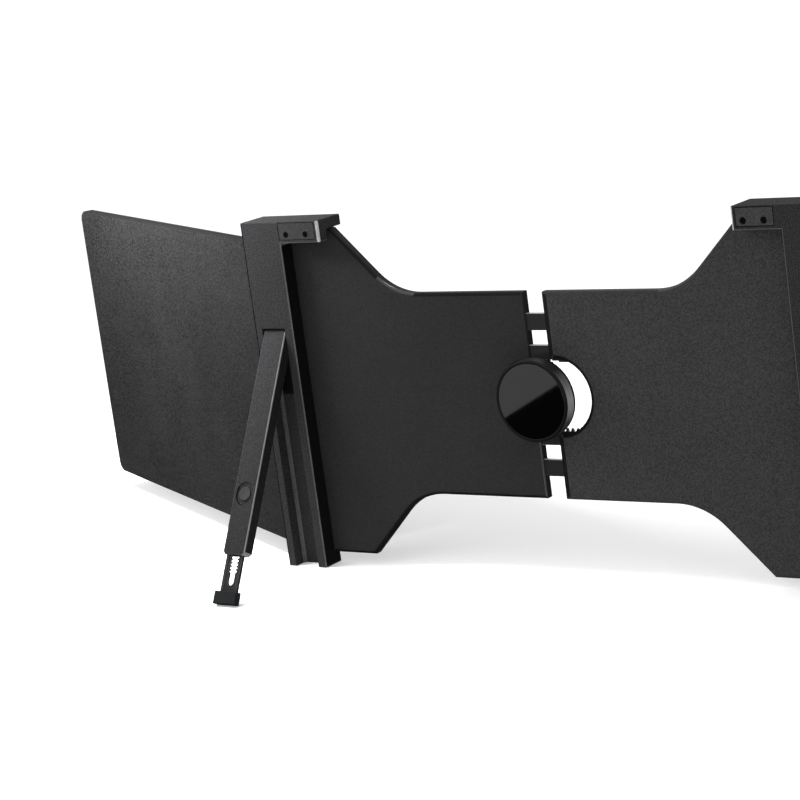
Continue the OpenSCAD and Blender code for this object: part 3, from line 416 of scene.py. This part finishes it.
for side in ("left", "right"):
    dress(f"{side}_post_housing", post_m, post_edge_highlight, 0.3, angle=55, pick=post_faces(side), more=(post_side_shade, near_black_shade, arm_end_highlight, top_m))
    dress(f"{side}_post_cover", post_m, post_edge_highlight, 0.25)
    plate, wall, gap, flat = (left_plate_shaded, left_wall_shade, left_gap_highlight, near_black_shade) if side == "left" else (right_plate_lit, wall_r, near_black_shade, bevel_r)
    dress(f"{side}_plate_casting", plate, near_black_shade, 0.2, angle=50, pick=plate_faces(side), more=(wall, slope_m, gap, flat))
    dress(f"{side}_plate_front", plate, near_black_shade, 0.2, angle=50, pick=plate_faces(side), more=(wall, slope_m, gap, flat))
    # top faces take the painted highlight
    dress(f"{side}_guide_bar", bar_m, bar_top_highlight, 0.15, pick=lambda n, c: 1 if n.z > 0.9 else 0)
    dress(f"{side}_rack_bar", bar_m, bar_top_highlight, 0.12, pick=lambda n, c: 1 if n.z > 0.9 else 0, planar=False)
    dress(f"{side}_hook_plate", steel_m, None, 0.15)
    dress(f"{side}_bracket_cover", cover_m if side == "left" else right_cover_lit, seam_m, 0.4, pick=rims)
    dress(f"{side}_bracket_screws", screw_m, None, 0.08)
    dress(f"{side}_lid_pads", pad_m, None, 0.15, planar=False)
    dress(f"{side}_leg_pin", steel_m, None, 0.1)
    dress(f"{side}_hinge_base", hinge_m, hinge_edge_highlight, 0.2)
    dress(f"{side}_hinge_pins", steel_m, None, 0.15)
    dress(f"{side}_screen_shell", screen_m, screen_e, 0.3, pick=lambda n, c: 2 if abs(n.z) > 0.5 else 0, more=(screen_top_shade,), planar=False)
    dress(f"{side}_screen_bezel", bezel_m, bezel_m, 0.15, planar=False)
    dress(f"{side}_screen_glass", display_m, None, 0.05)
    dress(f"{side}_screen_backlight", backlight_m, None, 0)
    dress(f"{side}_screen_board", board_m, None, 0)
    dress(f"{side}_screen_ports", socket_m, None, 0.08, planar=False)
    dress(f"{side}_screen_hinge", hinge_m, hinge_edge_highlight, 0.2)
    dress(f"{side}_power_button", small_m, screen_e, 0.15)
    dress(f"{side}_leg_shell", leg_m, leg_edge_highlight, 0.3, angle=46, pick=leg_faces(side), more=(leg_glint_highlight, near_black_shade, leg_side_shade))
    dress(f"{side}_leg_button", button_m, leg_edge_highlight, 0.15)
    dress(f"{side}_button_spring", steel_m, None, 0)
    dress(f"{side}_foot_slider", slider_m, slider_edge_highlight, 0.12, planar=False)
    dress(f"{side}_foot_pad", foot_m, foot_m, 0.25)
dress("hub_plate", hub_m, None, 0.2)
dress("hub_axle", steel_m, None, 0.12)
dress("hub_clip", steel_m, None, 0.08)
dress("knob_shell", band_m, None, 0.12)
dress("knob_rim", rim_m, None, 0.06)
dress("knob_face", face_m, None, 0.08)
dress("pinion_gear", gear_m, None, 0.08)

# ---------------------------------------------------------------- stage

floor_mesh = bpy.data.meshes.new("floor")
bm = bmesh.new()
bmesh.ops.create_grid(bm, x_segments=1, y_segments=1, size=60)
bm.to_mesh(floor_mesh)
bm.free()
floor = bpy.data.objects.new("floor", floor_mesh)
scene.collection.objects.link(floor)
floor_mat = Mat("floor_paint", Roughness=0.9)
floor_mat.s.inputs["Specular IOR Level"].default_value = 0.1
floor_mat.link(floor_mat.ramp(floor_mat.noise(3, 2.0), [(0.3, (0.895, 0.895, 0.895)), (0.7, (0.915, 0.915, 0.915))]), floor_mat.s.inputs["Base Color"])
floor_mat.s.inputs["Emission Color"].default_value = (1, 1, 1, 1)
floor_mat.s.inputs["Emission Strength"].default_value = 0.22
floor_mesh.materials.append(floor_mat.m)
floor.visible_glossy = False

# Studio: bright overhead, softer towards the horizon, dimmer on the right
world = bpy.data.worlds.new("studio")
scene.world = world
world.use_nodes = True
wt = world.node_tree
back = wt.nodes["Background"]
wc = wt.nodes.new("ShaderNodeTexCoord")
ws = wt.nodes.new("ShaderNodeSeparateXYZ")
wt.links.new(wc.outputs["Generated"], ws.inputs["Vector"])
wr = wt.nodes.new("ShaderNodeValToRGB")
el = wr.color_ramp.elements
while len(el) < 5:
    el.new(0.5)
for e, (pos, g) in zip(el, ((0.0, 0.004), (0.44, 0.010), (0.53, 0.42), (0.70, 0.85), (1.0, 1.0))):
    e.position = pos
    e.color = (g, g, g, 1)
wz = wt.nodes.new("ShaderNodeMapRange")
wz.inputs["From Min"].default_value, wz.inputs["From Max"].default_value = -1, 1
wt.links.new(ws.outputs["Z"], wz.inputs["Value"])
wt.links.new(wz.outputs["Result"], wr.inputs["Fac"])
wx = wt.nodes.new("ShaderNodeMapRange")
for k, v in (("From Min", -1), ("From Max", 1), ("To Min", 1.35), ("To Max", 0.75)):
    wx.inputs[k].default_value = v
wt.links.new(ws.outputs["X"], wx.inputs["Value"])
wy = wt.nodes.new("ShaderNodeMapRange")
for k, v in (("From Min", -1), ("From Max", 1), ("To Min", 1.15), ("To Max", 0.55)):
    wy.inputs[k].default_value = v
wt.links.new(ws.outputs["Y"], wy.inputs["Value"])
wxy = wt.nodes.new("ShaderNodeMath")
wxy.operation = "MULTIPLY"
wt.links.new(wx.outputs["Result"], wxy.inputs[0])
wt.links.new(wy.outputs["Result"], wxy.inputs[1])
wm = wt.nodes.new("ShaderNodeVectorMath")
wm.operation = "SCALE"
wt.links.new(wr.outputs["Color"], wm.inputs[0])
wt.links.new(wxy.outputs["Value"], wm.inputs["Scale"])
wt.links.new(wm.outputs["Vector"], back.inputs["Color"])
back.inputs["Strength"].default_value = 1.2


def area(name, at, look, size, power, size_y=None, diffuse=True, glossy=True):
    d = bpy.data.lights.new(name, "AREA")
    d.shape = "RECTANGLE"
    d.size, d.size_y = size, size_y or size
    d.energy = power
    o = bpy.data.objects.new(name, d)
    scene.collection.objects.link(o)
    o.location = at
    o.rotation_mode = "QUATERNION"
    o.rotation_quaternion = (Vector(look) - Vector(at)).to_track_quat("-Z", "Y")
    o.visible_camera = False
    o.visible_diffuse = diffuse
    o.visible_glossy = glossy
    return o


# a long soft box low over the left screen, so that its back darkens towards the table
area("strip", (-0.43, -0.05, 0.335), (-0.36, 0.08, 0.18), 0.34, 4.6, 0.05, True, False)
# soft boxes that show only as highlights on the broken edges
area("rim_right", (0.62, -0.62, 0.08), (-0.2, 0.0, 0.12), 0.14, 0.55, 0.30, False)
area("rim_left", (-0.229, -0.606, 0.678), (-0.09, 0.0, 0.18), 0.12, 0.65, 0.12, False)


def through(px, py, y):
    """The point at depth y (mm from the back of the posts) seen at a place in the 800 x 800 frame."""
    d = M[0] * (px - 400) + M[1] * (py - 400) + M[2] * 2619.9148
    c = cam.matrix_world.translation
    return c + d * ((y * MM + Y0 - c.y) / d.y)


def bounced(px, py, y, far):
    """Where a ray that the knob's flat face throws back has got to."""
    p = through(px, py, y)
    d = (p - cam.matrix_world.translation).normalized()
    d.y = -d.y
    return p + d * far


# A soft box whose lower edge shows in the knob's gloss face as a slanting border
p0, p1 = bounced(506, 417, -3.7, 0.7), bounced(558, 384, -3.7, 0.7)
ex = (p0 - p1).normalized()
ez = -(through(532, 400, -3.7) - (p0 + p1) / 2).normalized()
ey = ez.cross(ex).normalized()
ex = ey.cross(ez).normalized()
d = bpy.data.lights.new("face_box", "AREA")
d.shape = "RECTANGLE"
d.size, d.size_y = 0.30, 0.12
d.energy = math.pi * 0.30 * 0.12 * 1.05
box = bpy.data.objects.new("face_box", d)
scene.collection.objects.link(box)
box.matrix_world = Matrix.Translation((p0 + p1) / 2 + ey * (0.06 if ey.z > 0 else -0.06)) @ Matrix((ex, ey, ez)).transposed().to_4x4()
box.visible_camera = False
box.visible_diffuse = False
scene.view_settings.view_transform = "Standard"
